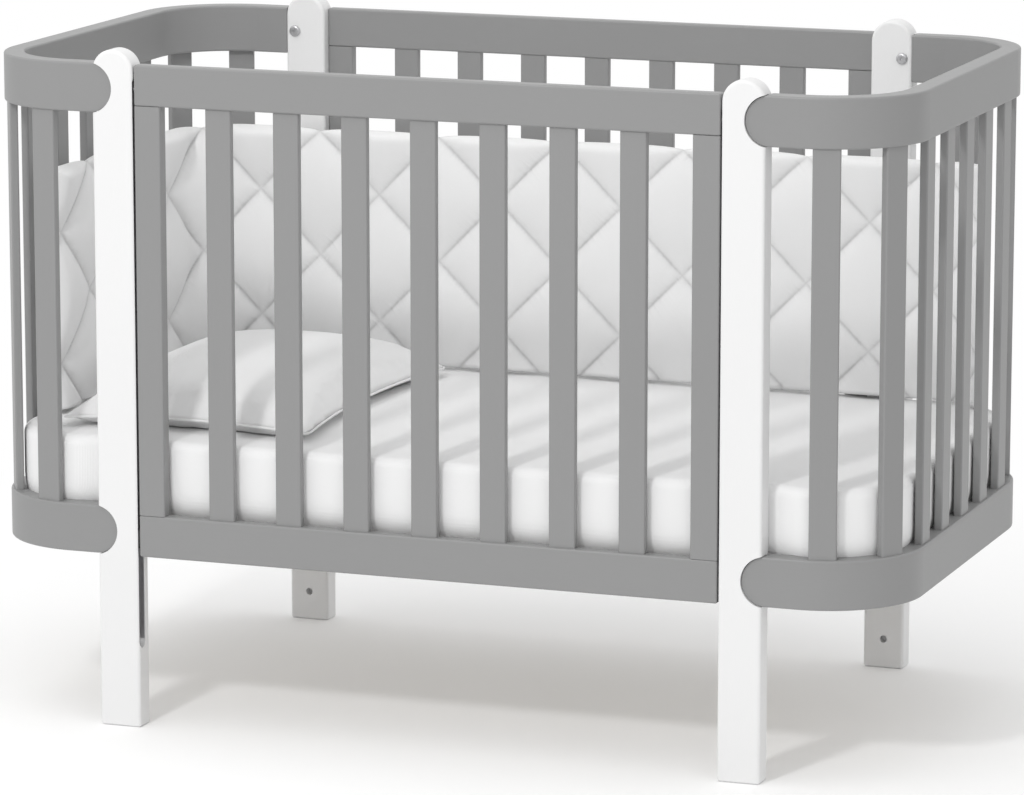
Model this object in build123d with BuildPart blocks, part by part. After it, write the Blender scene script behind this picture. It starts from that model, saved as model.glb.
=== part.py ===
from build123d import *
import os
from math import cos, degrees, radians, sin

os.makedirs("parts", exist_ok=True)

# A crib with rounded slatted ends and a side that slides down. All sizes are in millimetres.
# X runs along the crib, Y from its front to its back, Z up. The origin is on the floor under its middle.

# Posts
post_gap = 866.0  # clear space between the two posts of the front or the back
post_width = 62.0
post_depth = 36.0
post_height = 974.0
post_edge = 5.0
post_foot_chamfer = 2.0
crib_width = 748.0  # over the outer faces of the front and back posts
foot_hole_radius = 5.5
foot_hole_depth = 14.0
foot_hole_height = 44.0

# Heights that the sides and the ends share
rail_bottom = 250.0
rail_drop = 20.0  # from the posts' tops to the rails' top edges
rail_edge = 3.0

# Rounded ends
end_reach = 188.5  # from the posts' outer sides to the end of the crib
end_rail_height = 70.0
end_rail_thickness = 30.0
end_rail_setback = 4.0  # behind the posts' outer faces
end_bend_radius = 140.0  # at the outer face
end_rail_lap = 29.0  # how far a rail's round tip lies over its post
end_tongue_thickness = 16.0
notch_gap = 1.0
end_slat_steps = 4  # slats each side of the middle one
end_slat_pitch = 100.0

# Front and back sides
top_rail_height = 58.0
bottom_rail_height = 60.5
stile_width = 39.5
front_thickness = 21.0
front_setback = 1.4  # behind the posts' outer faces
front_side_gap = 1.6  # beside each front post
back_thickness = 18.0
back_setback = 1.7
back_tenon_length = 10.0
back_tenon_thickness = 10.0
back_tenon_inset = 12.0
side_slat_steps = 3  # slats each side of the middle one
side_slat_pitch = 102.0

# Slats and their joints
slat_width = 38.5
slat_thickness = 12.0
slat_setback = 4.5  # behind the rails' outer faces
slat_edge = 2.5
tenon_length = 10.0
tenon_thickness = 8.0
tenon_shoulder = 5.0
joint_fit = 0.1
mortise_extra = 0.5

# Bolts that hold the ends' rails to the posts
bolt_reach = 14.5  # from a post's outer side
bolt_radius = 3.0
bolt_length = 26.0
bolt_head_radius = 8.5
bolt_head_height = 4.5
bolt_head_edge = 3.0
bolt_socket_radius = 2.6
bolt_socket_depth = 2.5
bolt_clearance = 0.25
thread_clearance = 0.05

# Slot, channel and shoe that guide the sliding side
drop_travel = 145.0
slot_width = 19.5
slot_depth = 12.0
slot_bottom = 115.0
slot_rise = 20.0  # above the latches
channel_wall = 1.2
channel_fit = 0.1
channel_rim = 1.0  # below the post's side
channel_start = 12.0  # above the slot's bottom
shoe_fit = 0.2
shoe_height = 30.0
shoe_end_gap = 2.0
shoe_stop_gap = 0.4

# Latches in the sliding side's top rail
latch_drop = 36.0  # below the sides' top edge
latch_radius = 5.0
latch_length = 60.0
latch_travel = 14.0
latch_tip = 3.5  # beyond the post's side when drawn back
latch_running_fit = 0.05
latch_bore_extra = 4.0
latch_end_chamfer = 1.0
catch_fit = 0.3
catch_depth = 12.0
knob_stem_radius = 3.5
knob_setback = 7.5  # from the bolt's inner end
knob_radius = 7.0
knob_height = 8.0
knob_gap = 1.0
knob_edge = 2.0
knob_slot_fit = 0.2

# Mattress base
base_rail_height = 35.0
base_rail_thickness = 25.0
base_rail_half_length = 560.0
base_rail_gap = 6.0  # inside the posts' inner faces
base_slat_width = 60.0
base_slat_thickness = 12.0
base_slat_pitch = 96.0
base_slat_steps = 5
base_slat_end_gap = 2.0  # inside the rails' outer faces
base_board_start = 525.0
base_board_gap = 5.5
bracket_width = 40.0
bracket_wall = 3.0
bracket_drop = 45.0
bracket_shelf = 38.0

# Mattress
mattress_bottom = 297.0
mattress_height = 119.0
mattress_end_gap = 3.0  # inside the end slats
mattress_side_gap = 1.6  # inside the sliding side
soft_gap = 0.3
mattress_bulge = [
    (0.0, 14.0),
    (25.0, 11.0),
    (45.0, 2.0),
    (75.0, 0.0),
    (103.0, 1.5),
    (114.0, 3.0),
    (117.0, 7.0),
    (119.0, 40.0),
]

# Pillow
pillow_length = 550.0  # across the crib
pillow_width = 376.0
pillow_x = -395.0
pillow_y = -17.0
pillow_draw = 14.0  # how far its sides are drawn in between the corners
pillow_corner = 9.0
pillow_crown = [
    (0.0, 0.80),
    (6.0, 0.92),
    (14.0, 0.99),
    (20.0, 1.00),
    (28.0, 0.97),
    (38.0, 0.90),
    (48.0, 0.79),
    (57.0, 0.66),
    (65.0, 0.50),
    (70.0, 0.34),
    (73.0, 0.15),
]

# Bumper
bumper_height = 359.0
bumper_thickness = 30.0
bumper_back_gap = 5.6  # inside the back posts
bumper_end_gap = 1.1  # inside the end's rails
bumper_bend_radius = 102.0  # at its outer face
bumper_front = -220.0
bumper_right_turn = 55.0
bumper_edge_rise = 22.0
bumper_edge_width = 12.0
quilt_pitch = 194.0
quilt_back_start = -431.0
quilt_left_start = -124.0
quilt_depth = 4.0
quilt_radius = 22.0

# Places that follow from the sizes
post_inner_x = post_gap / 2
post_x = post_inner_x + post_width / 2
post_outer_x = post_inner_x + post_width
post_outer_y = crib_width / 2
post_inner_y = post_outer_y - post_depth
post_straight = post_height - post_width / 2
rail_top = post_height - rail_drop
latch_height = rail_top - latch_drop
slot_top = latch_height + slot_rise
end_outer_x = post_outer_x + end_reach
end_outer_y = post_outer_y - end_rail_setback
end_inner_x = end_outer_x - end_rail_thickness
end_inner_y = end_outer_y - end_rail_thickness
bend_x = end_outer_x - end_bend_radius
bend_y = end_outer_y - end_bend_radius
bend_inner_radius = end_bend_radius - end_rail_thickness
tip_x = post_outer_x - end_rail_lap
tip_radius = end_rail_height / 2
tongue_y = end_outer_y - end_tongue_thickness
end_rail_lows = {"bottom": rail_bottom, "top": rail_top - end_rail_height}
end_slat_radius = end_bend_radius - slat_setback - slat_thickness / 2
bolt_x = post_outer_x - bolt_reach
slat_low = rail_bottom + bottom_rail_height
slat_high = rail_top - top_rail_height
guide_y = -(post_outer_y - front_setback - front_thickness / 2)
front_half = post_inner_x - front_side_gap
slot_floor_x = post_inner_x + slot_depth
base_top = mattress_bottom - soft_gap
base_slat_low = base_top - base_slat_thickness
base_rail_low = base_slat_low - base_rail_height
base_rail_outer_y = post_inner_y - base_rail_gap


def facing_front(y):
    """A drawing plane that looks at the crib from the front, at depth y. It extrudes towards the front."""
    return Plane.XZ.offset(-y)


def save(piece, name):
    piece.part.label = name
    export_step(piece.part, "parts/" + name + ".step")


def make_post(side, face):
    """A post: side is -1 on the left and 1 on the right, face is -1 at the front and 1 at the back."""
    outer_y = face * post_outer_y
    inner_y = face * post_inner_y
    floor_y = face * tongue_y
    with BuildPart() as post:
        with BuildSketch(facing_front(max(outer_y, inner_y))):
            with Locations((side * post_x, post_straight / 2)):
                Rectangle(post_width, post_straight)
            with Locations((side * post_x, post_straight)):
                Circle(post_width / 2)
        extrude(amount=post_depth)
        rims = post.faces().filter_by(Axis.Y).edges()
        fillet([rim for rim in rims if rim.center().Z > post_edge], radius=post_edge)
        chamfer(post.faces().sort_by(Axis.Z)[0].edges(), length=post_foot_chamfer)
        for low in end_rail_lows.values():
            height = low + tip_radius
            with BuildSketch(facing_front(max(outer_y, floor_y))):
                with Locations((side * (tip_x + tip_radius), height)):
                    Circle(tip_radius + notch_gap)
            extrude(amount=abs(outer_y - floor_y), mode=Mode.SUBTRACT)
            with BuildSketch(facing_front(max(floor_y, inner_y))):
                with Locations((side * bolt_x, height)):
                    Circle(bolt_radius + bolt_clearance)
            extrude(amount=abs(floor_y - inner_y), mode=Mode.SUBTRACT)
        hole_end = inner_y + face * foot_hole_depth
        with BuildSketch(facing_front(max(hole_end, inner_y))):
            with Locations((side * post_x, foot_hole_height)):
                Circle(foot_hole_radius)
        extrude(amount=foot_hole_depth, mode=Mode.SUBTRACT)
        if face < 0:
            cut_guide_slot(side)
        else:
            cut_back_mortises(side)
    return post


def cut_guide_slot(side):
    """The routed slot in a front post's inner side, with the two holes that the latch drops into."""
    start = min(side * post_inner_x, side * slot_floor_x)
    with BuildSketch(Plane.YZ.offset(start)) as slot:
        with Locations((guide_y, (slot_bottom + slot_top) / 2)):
            SlotOverall(slot_top - slot_bottom, slot_width, rotation=90)
    extrude(slot.sketch, amount=slot_depth, mode=Mode.SUBTRACT)
    hole_start = min(side * slot_floor_x, side * (slot_floor_x + catch_depth))
    with BuildSketch(Plane.YZ.offset(hole_start)) as catches:
        with Locations((guide_y, latch_height), (guide_y, latch_height - drop_travel)):
            Circle(latch_radius + catch_fit)
    extrude(catches.sketch, amount=catch_depth, mode=Mode.SUBTRACT)


def cut_back_mortises(side):
    """The mortises in a back post for the tenons of the back side's two rails."""
    depth = back_tenon_length + mortise_extra
    middle_y = post_outer_y - back_setback - back_thickness / 2
    start = min(side * post_inner_x, side * (post_inner_x + depth))
    with BuildSketch(Plane.YZ.offset(start)) as mortises:
        for low, height in ((rail_bottom, bottom_rail_height), (slat_high, top_rail_height)):
            with Locations((middle_y, low + height / 2)):
                Rectangle(
                    back_tenon_thickness + 2 * joint_fit, height - 2 * back_tenon_inset + 2 * joint_fit
                )
    extrude(mortises.sketch, amount=depth, mode=Mode.SUBTRACT)


for face, face_name in ((-1, "front"), (1, "back")):
    for side, side_name in ((-1, "left"), (1, "right")):
        save(make_post(side, face), "post_" + face_name + "_" + side_name)


def end_slat_place(side, step):
    """The place and turn of a slat in a rounded end, counted from the middle one."""
    run = abs(step) * end_slat_pitch
    over = max(0.0, run - bend_y)
    turn = over / end_slat_radius
    toward = 1 if step > 0 else -1
    x = side * (bend_x + end_slat_radius * cos(turn))
    y = toward * (min(run, bend_y) + end_slat_radius * sin(turn))
    return x, y, 90.0 + side * toward * degrees(turn)


def side_slat_places(outer_y, face):
    """The places of the slats in the front or the back side, with the rails' outer face at outer_y."""
    y = outer_y - face * (slat_setback + slat_thickness / 2)
    return [(step * side_slat_pitch, y, 0.0) for step in range(-side_slat_steps, side_slat_steps + 1)]


def cut_mortises(places, face_z, depth_down, width, thickness):
    """Mortises for tenons of this width and thickness, above face_z or below it."""
    depth = tenon_length + mortise_extra
    with BuildSketch(Plane.XY.offset(face_z - depth if depth_down else face_z)) as mortises:
        for x, y, turn in places:
            with Locations((x, y)):
                Rectangle(width + 2 * joint_fit, thickness + 2 * joint_fit, rotation=turn)
    extrude(mortises.sketch, amount=depth, mode=Mode.SUBTRACT)


def make_upright(place, width, thickness, edge, inset, low, high):
    """A slat or stile between two rails, with a tenon at each end."""
    x, y, turn = place
    with BuildPart() as upright:
        with BuildSketch(Plane.XY.offset(low)) as section:
            with Locations((x, y)):
                Rectangle(width, thickness, rotation=turn)
            fillet(section.vertices(), radius=edge)
        extrude(amount=high - low)
        with BuildSketch(Plane.XY.offset(low - tenon_length)):
            with Locations((x, y)):
                Rectangle(width - 2 * inset, tenon_thickness, rotation=turn)
        extrude(amount=high - low + 2 * tenon_length)
    return upright


def make_end_rail(side, name):
    """A bent rail of a rounded end, whose round tips lie in the posts' notches."""
    low = end_rail_lows[name]
    middle = low + tip_radius
    half = radians(45)

    def corner(radius, toward):
        return side * (bend_x + radius * cos(half)), toward * (bend_y + radius * sin(half))

    with BuildPart() as rail:
        with BuildSketch(Plane.XY.offset(low)):
            with BuildLine():
                Line((side * tip_x, -end_outer_y), (side * bend_x, -end_outer_y))
                ThreePointArc(
                    (side * bend_x, -end_outer_y), corner(end_bend_radius, -1), (side * end_outer_x, -bend_y)
                )
                Line((side * end_outer_x, -bend_y), (side * end_outer_x, bend_y))
                ThreePointArc(
                    (side * end_outer_x, bend_y), corner(end_bend_radius, 1), (side * bend_x, end_outer_y)
                )
                Line((side * bend_x, end_outer_y), (side * tip_x, end_outer_y))
                Line((side * tip_x, end_outer_y), (side * tip_x, end_inner_y))
                Line((side * tip_x, end_inner_y), (side * bend_x, end_inner_y))
                ThreePointArc(
                    (side * bend_x, end_inner_y), corner(bend_inner_radius, 1), (side * end_inner_x, bend_y)
                )
                Line((side * end_inner_x, bend_y), (side * end_inner_x, -bend_y))
                ThreePointArc(
                    (side * end_inner_x, -bend_y), corner(bend_inner_radius, -1), (side * bend_x, -end_inner_y)
                )
                Line((side * bend_x, -end_inner_y), (side * tip_x, -end_inner_y))
                Line((side * tip_x, -end_inner_y), (side * tip_x, -end_outer_y))
            make_face()
        extrude(amount=end_rail_height)
        rims = rail.faces().filter_by(Plane.XY).edges()
        fillet([rim for rim in rims if abs(abs(rim.center().X) - tip_x) > rail_edge], radius=rail_edge)
        with BuildSketch(Plane.XY.offset(low)):
            for face in (-1, 1):
                with Locations((side * (tip_x + post_outer_x) / 2, face * (tongue_y + end_inner_y) / 2)):
                    Rectangle(post_outer_x - tip_x, tongue_y - end_inner_y)
        extrude(amount=end_rail_height, mode=Mode.SUBTRACT)
        with BuildSketch(facing_front(end_outer_y)):
            with Locations((side * (tip_x + tip_radius / 2), middle)):
                Rectangle(tip_radius, end_rail_height)
            with Locations((side * (tip_x + tip_radius), middle)):
                Circle(tip_radius, mode=Mode.SUBTRACT)
        extrude(amount=2 * end_outer_y, mode=Mode.SUBTRACT)
        steps = range(-end_slat_steps, end_slat_steps + 1)
        places = [end_slat_place(side, step) for step in steps]
        tenon_width = slat_width - 2 * tenon_shoulder
        if name == "top":
            cut_mortises(places, low, False, tenon_width, tenon_thickness)
        else:
            cut_mortises(places, low + end_rail_height, True, tenon_width, tenon_thickness)
        hole_depth = bolt_length - (tongue_y - post_inner_y) + mortise_extra
        for face in (-1, 1):
            with BuildSketch(facing_front(max(face * tongue_y, face * (tongue_y + hole_depth)))):
                with Locations((side * bolt_x, middle)):
                    Circle(bolt_radius + thread_clearance)
            extrude(amount=hole_depth, mode=Mode.SUBTRACT)
    return rail


end_slat_low = rail_bottom + end_rail_height
end_slat_high = rail_top - end_rail_height

for side, side_name in ((-1, "left"), (1, "right")):
    for level in ("top", "bottom"):
        save(make_end_rail(side, level), side_name + "_end_" + level + "_rail")
    for step in range(-end_slat_steps, end_slat_steps + 1):
        slat = make_upright(
            end_slat_place(side, step),
            slat_width,
            slat_thickness,
            slat_edge,
            tenon_shoulder,
            end_slat_low,
            end_slat_high,
        )
        save(slat, side_name + "_end_slat_" + str(step + end_slat_steps + 1))


front_outer_y = -(post_outer_y - front_setback)
back_outer_y = post_outer_y - back_setback


def stile_places(half, middle_y):
    return [(side * (half - stile_width / 2), middle_y, 0.0) for side in (-1, 1)]


def cut_latch_places():
    """The bores for the two latch bolts in the front top rail and the slots that their knobs run in."""
    inner_face = front_outer_y + front_thickness
    bore_end = post_inner_x + latch_tip - latch_length - latch_bore_extra
    knob_x = post_inner_x + latch_tip - latch_length + knob_setback
    knob_slot_width = 2 * (knob_stem_radius + knob_slot_fit)
    for side in (-1, 1):
        with BuildSketch(Plane.YZ.offset(min(side * front_half, side * bore_end))) as bore:
            with Locations((guide_y, latch_height)):
                Circle(latch_radius + latch_running_fit)
        extrude(bore.sketch, amount=front_half - bore_end, mode=Mode.SUBTRACT)
        with BuildSketch(facing_front(inner_face)) as knob_slot:
            with Locations((side * (knob_x + latch_travel / 2), latch_height)):
                SlotOverall(latch_travel + knob_slot_width, knob_slot_width)
        extrude(knob_slot.sketch, amount=inner_face - guide_y, mode=Mode.SUBTRACT)


def make_side_rail(name, face, half, outer_y, thickness, low, height, joint_z, depth_down):
    """A straight rail of the front or the back side, with the mortises for its stiles and slats."""
    middle_y = outer_y - face * thickness / 2
    with BuildPart() as rail:
        with Locations((0, middle_y, low + height / 2)):
            Box(2 * half, thickness, height)
        fillet(rail.edges(), radius=rail_edge)
        if face > 0:
            with Locations((0, middle_y, low + height / 2)):
                Box(2 * (half + back_tenon_length), back_tenon_thickness, height - 2 * back_tenon_inset)
        places = side_slat_places(outer_y, face)
        cut_mortises(places, joint_z, depth_down, slat_width - 2 * tenon_shoulder, tenon_thickness)
        stile_tenon = stile_width - 4 * tenon_shoulder
        cut_mortises(stile_places(half, middle_y), joint_z, depth_down, stile_tenon, tenon_thickness)
        if name == "front_top_rail":
            cut_latch_places()
    return rail


for side_name, face, half, outer_y, thickness in (
    ("front", -1, front_half, front_outer_y, front_thickness),
    ("back", 1, post_inner_x, back_outer_y, back_thickness),
):
    middle_y = outer_y - face * thickness / 2
    for level, low, height, joint_z in (
        ("bottom", rail_bottom, bottom_rail_height, slat_low),
        ("top", slat_high, top_rail_height, slat_high),
    ):
        name = side_name + "_" + level + "_rail"
        down = level == "bottom"
        save(make_side_rail(name, face, half, outer_y, thickness, low, height, joint_z, down), name)
    for place, stile_name in zip(stile_places(half, middle_y), ("left", "right")):
        stile = make_upright(
            place, stile_width, thickness, rail_edge, 2 * tenon_shoulder, slat_low, slat_high
        )
        save(stile, side_name + "_" + stile_name + "_stile")
    for number, place in enumerate(side_slat_places(outer_y, face), 1):
        slat = make_upright(
            place, slat_width, slat_thickness, slat_edge, tenon_shoulder, slat_low, slat_high
        )
        save(slat, side_name + "_slat_" + str(number))


# The bolts go through the posts from inside the crib into the tongues of the ends' rails.
bolt_head_y = post_inner_y - bolt_head_height
bolt_places = [(side * bolt_x, low + tip_radius) for side in (-1, 1) for low in end_rail_lows.values()]
with BuildPart() as rail_bolts:
    for face in (-1, 1):
        shank_end = face * (post_inner_y + bolt_length)
        with BuildSketch(facing_front(max(face * post_inner_y, shank_end))):
            with Locations(*bolt_places):
                Circle(bolt_radius)
        extrude(amount=bolt_length)
        with BuildSketch(facing_front(max(face * post_inner_y, face * bolt_head_y))):
            with Locations(*bolt_places):
                Circle(bolt_head_radius)
        extrude(amount=bolt_head_height)
    rims = [
        rim
        for rim in rail_bolts.edges().filter_by(GeomType.CIRCLE)
        if abs(abs(rim.center().Y) - bolt_head_y) < bolt_head_edge / 2
    ]
    fillet(rims, radius=bolt_head_edge)
    for face in (-1, 1):
        socket_end = face * (bolt_head_y + bolt_socket_depth)
        with BuildSketch(facing_front(max(face * bolt_head_y, socket_end))):
            with Locations(*bolt_places):
                RegularPolygon(bolt_socket_radius, 6)
        extrude(amount=bolt_socket_depth, mode=Mode.SUBTRACT)
save(rail_bolts, "rail_bolts")

# The steel channels line the slots in the front posts.
channel_outer = slot_width - 2 * channel_fit
channel_inner = channel_outer - 2 * channel_wall
channel_open_x = post_inner_x + channel_rim
channel_web_x = slot_floor_x - channel_wall
channel_low = slot_bottom + channel_start
channel_high = slot_top - slot_width / 2
with BuildPart() as guide_channels:
    for side in (-1, 1):
        with BuildSketch(Plane.XY.offset(channel_low)):
            with Locations((side * (channel_open_x + slot_floor_x) / 2, guide_y)):
                Rectangle(slot_floor_x - channel_open_x, channel_outer)
            with Locations((side * (channel_open_x + channel_web_x) / 2, guide_y)):
                Rectangle(channel_web_x - channel_open_x, channel_inner, mode=Mode.SUBTRACT)
        extrude(amount=channel_high - channel_low)
    with BuildSketch(Plane.YZ.offset(-slot_floor_x)):
        with Locations((guide_y, latch_height), (guide_y, latch_height - drop_travel)):
            Circle(latch_radius + catch_fit)
    extrude(amount=2 * slot_floor_x, mode=Mode.SUBTRACT)
save(guide_channels, "guide_channels")

# The shoes on the sliding side's lower corners run in the channels and stop at the slots' ends.
shoe_width = channel_inner - 2 * shoe_fit
shoe_low = slot_bottom + shoe_stop_gap + drop_travel
shoe_end_x = channel_web_x - shoe_end_gap
with BuildPart() as guide_shoes:
    for side in (-1, 1):
        with BuildSketch(Plane.YZ.offset(min(side * front_half, side * shoe_end_x))):
            with Locations((guide_y, shoe_low + shoe_height / 2)):
                SlotOverall(shoe_height, shoe_width, rotation=90)
        extrude(amount=shoe_end_x - front_half)
save(guide_shoes, "guide_shoes")


def make_latch(side):
    """A latch bolt lying in the front top rail, with the finger knob that slides it."""
    tip = post_inner_x + latch_tip
    knob_x = tip - latch_length + knob_setback
    knob_low_y = front_outer_y + front_thickness + knob_gap
    knob_top_y = knob_low_y + knob_height
    with BuildPart() as latch:
        with BuildSketch(Plane.YZ.offset(min(side * tip, side * (tip - latch_length)))):
            with Locations((guide_y, latch_height)):
                Circle(latch_radius)
        extrude(amount=latch_length)
        chamfer(latch.edges().filter_by(GeomType.CIRCLE), length=latch_end_chamfer)
        with BuildSketch(facing_front(knob_low_y)):
            with Locations((side * knob_x, latch_height)):
                Circle(knob_stem_radius)
        extrude(amount=knob_low_y - guide_y)
        with BuildSketch(facing_front(knob_top_y)):
            with Locations((side * knob_x, latch_height)):
                Circle(knob_radius)
        extrude(amount=knob_height)
        knob_rims = latch.edges().filter_by(GeomType.CIRCLE).group_by(Axis.Y)[-1]
        fillet(knob_rims, radius=knob_edge)
    return latch


for side, side_name in ((-1, "left"), (1, "right")):
    save(make_latch(side), "latch_" + side_name)

# The mattress base stands on brackets on the posts' inner faces.
base_rail_middle_y = base_rail_outer_y - base_rail_thickness / 2
with BuildPart() as base_rails:
    with Locations(
        *[(0, face * base_rail_middle_y, base_rail_low + base_rail_height / 2) for face in (-1, 1)]
    ):
        Box(2 * base_rail_half_length, base_rail_thickness, base_rail_height)
    fillet(base_rails.edges().filter_by(Axis.X), radius=rail_edge)
save(base_rails, "base_rails")

with BuildPart() as base_slats:
    with Locations(
        *[
            (step * base_slat_pitch, 0, base_slat_low + base_slat_thickness / 2)
            for step in range(-base_slat_steps, base_slat_steps + 1)
        ]
    ):
        Box(base_slat_width, 2 * (base_rail_outer_y - base_slat_end_gap), base_slat_thickness)
    fillet(base_slats.edges().filter_by(Axis.Y), radius=slat_edge)
save(base_slats, "base_slats")

with BuildPart() as base_end_boards:
    with BuildSketch(Plane.XY.offset(base_slat_low)):
        RectangleRounded(
            2 * (end_inner_x - base_board_gap),
            2 * (end_inner_y - base_board_gap),
            bend_inner_radius - base_board_gap,
        )
        Rectangle(2 * base_board_start, 2 * end_inner_y, mode=Mode.SUBTRACT)
    extrude(amount=base_slat_thickness)
save(base_end_boards, "base_end_boards")

with BuildPart() as base_brackets:
    for face in (-1, 1):
        wall_y = face * (post_inner_y - bracket_wall / 2)
        shelf_y = face * (post_inner_y - bracket_shelf / 2)
        for side in (-1, 1):
            with Locations((side * post_x, wall_y, base_rail_low - bracket_drop / 2)):
                Box(bracket_width, bracket_wall, bracket_drop)
            with Locations((side * post_x, shelf_y, base_rail_low - bracket_wall / 2)):
                Box(bracket_width, bracket_shelf, bracket_wall)
save(base_brackets, "base_brackets")

# The mattress swells above the rails, its corners follow the bends and the posts press into its sides.
mattress_half_x = end_outer_x - slat_setback - slat_thickness - mattress_end_gap
mattress_half_y = post_outer_y - front_setback - front_thickness - mattress_side_gap
mattress_corner = end_bend_radius - slat_setback - slat_thickness - mattress_end_gap
mattress_top = mattress_bottom + mattress_height
with BuildPart() as mattress:
    for rise, inset in mattress_bulge:
        with BuildSketch(Plane.XY.offset(mattress_bottom + rise)):
            RectangleRounded(
                2 * (mattress_half_x - inset), 2 * (mattress_half_y - inset), mattress_corner - inset
            )
    loft(ruled=True)
    with BuildSketch(Plane.XY.offset(mattress_bottom)):
        for face in (-1, 1):
            for side in (-1, 1):
                with Locations((side * post_x, face * (post_inner_y - soft_gap + post_depth / 2))):
                    Rectangle(post_width + 2 * soft_gap, post_depth)
    extrude(amount=mattress_height, mode=Mode.SUBTRACT)
save(mattress, "mattress")


def pillow_outline(scale):
    """A pillow's outline at one height: four corners with the sides drawn in between them."""
    half_x = scale * pillow_width / 2
    half_y = scale * pillow_length / 2
    draw = scale * pillow_draw
    corners = [(-half_x, -half_y), (half_x, -half_y), (half_x, half_y), (-half_x, half_y)]
    middles = [(0, draw - half_y), (half_x - draw, 0), (0, half_y - draw), (draw - half_x, 0)]
    for number, middle in enumerate(middles):
        ThreePointArc(corners[number], middle, corners[(number + 1) % len(corners)])


pillow_low = mattress_top + soft_gap
with BuildPart() as pillow:
    for rise, scale in pillow_crown:
        with BuildSketch(Plane((pillow_x, pillow_y, pillow_low + rise))) as outline:
            with BuildLine():
                pillow_outline(scale)
            make_face()
            fillet(outline.vertices(), radius=scale * pillow_corner)
    loft(ruled=True)
save(pillow, "pillow")

# The bumper stands on the mattress, along the back and round both back corners.
bumper_outer_x = end_inner_x - bumper_end_gap
bumper_outer_y = post_inner_y - bumper_back_gap
bumper_bend_x = bumper_outer_x - bumper_bend_radius
bumper_bend_y = bumper_outer_y - bumper_bend_radius
bumper_line_radius = bumper_bend_radius - bumper_thickness / 2
bumper_line_x = bumper_outer_x - bumper_thickness / 2
bumper_line_y = bumper_outer_y - bumper_thickness / 2
bumper_inner_x = bumper_outer_x - bumper_thickness
bumper_inner_y = bumper_outer_y - bumper_thickness
bumper_low = mattress_top + soft_gap
bumper_high = bumper_low + bumper_height


def cut_quilting(plane, first, start, end):
    """Sewn diagonal channels in a flat stretch of the bumper, drawn on a plane in its face."""
    count = int(bumper_height / quilt_pitch) + 1
    number = int((end - start) / quilt_pitch) + count + 1
    for lean in (-1, 1):
        for step in range(-number, number + 1):
            top = first + step * quilt_pitch
            near = min(max(top, start), end)
            far = min(max(top + lean * bumper_height, start), end)
            if abs(far - near) < quilt_radius:
                continue
            begin = plane.from_local_coords(Vector(near, bumper_high - abs(near - top), 0))
            finish = plane.from_local_coords(Vector(far, bumper_high - abs(far - top), 0))
            begin = begin + plane.z_dir * (quilt_radius - quilt_depth)
            finish = finish + plane.z_dir * (quilt_radius - quilt_depth)
            run = finish - begin
            with BuildSketch(Plane(origin=begin, z_dir=run.normalized())) as channel:
                Circle(quilt_radius)
            extrude(channel.sketch, amount=run.length, mode=Mode.SUBTRACT)


with BuildPart() as bumper:
    with BuildLine() as bumper_line:
        Line((-bumper_line_x, bumper_front, 0), (-bumper_line_x, bumper_bend_y, 0))
        CenterArc((-bumper_bend_x, bumper_bend_y, 0), bumper_line_radius, 180, -90)
        Line((-bumper_bend_x, bumper_line_y, 0), (bumper_bend_x, bumper_line_y, 0))
        CenterArc((bumper_bend_x, bumper_bend_y, 0), bumper_line_radius, 90, -bumper_right_turn)
    half = bumper_thickness / 2
    lean = half - bumper_edge_width / 2
    low = bumper_low
    high = bumper_high
    bow = 0.3 * lean
    with BuildSketch(Plane(origin=(-bumper_line_x, bumper_front, 0), x_dir=(1, 0, 0), z_dir=(0, -1, 0))):
        with BuildLine():
            Line((lean - half, low), (half - lean, low))
            ThreePointArc(
                (half - lean, low), (half - bow, low + bumper_edge_rise / 2), (half, low + bumper_edge_rise)
            )
            Line((half, low + bumper_edge_rise), (half, high - bumper_edge_rise))
            ThreePointArc(
                (half, high - bumper_edge_rise), (half - bow, high - bumper_edge_rise / 2), (half - lean, high)
            )
            Line((half - lean, high), (lean - half, high))
            ThreePointArc(
                (lean - half, high), (bow - half, high - bumper_edge_rise / 2), (-half, high - bumper_edge_rise)
            )
            Line((-half, high - bumper_edge_rise), (-half, low + bumper_edge_rise))
            ThreePointArc(
                (-half, low + bumper_edge_rise), (bow - half, low + bumper_edge_rise / 2), (lean - half, low)
            )
        make_face()
    sweep(path=bumper_line.wire())
    back_face = Plane(origin=(0, bumper_inner_y, 0), x_dir=(1, 0, 0), z_dir=(0, -1, 0))
    cut_quilting(back_face, quilt_back_start, -bumper_bend_x, bumper_bend_x)
    left_face = Plane(origin=(-bumper_inner_x, 0, 0), x_dir=(0, 1, 0), z_dir=(1, 0, 0))
    cut_quilting(left_face, quilt_left_start, bumper_front, bumper_bend_y)
save(bumper, "bumper")
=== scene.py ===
"""Dresses the crib: paint and metal on its frame, a mattress, a pillow, a quilted bumper and a studio."""

from math import cos, exp, pi, radians, sin, sqrt, tau

import bmesh
import bpy
from bpy.props import FloatProperty, FloatVectorProperty, PointerProperty
from mathutils import Matrix, Vector, noise


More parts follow.
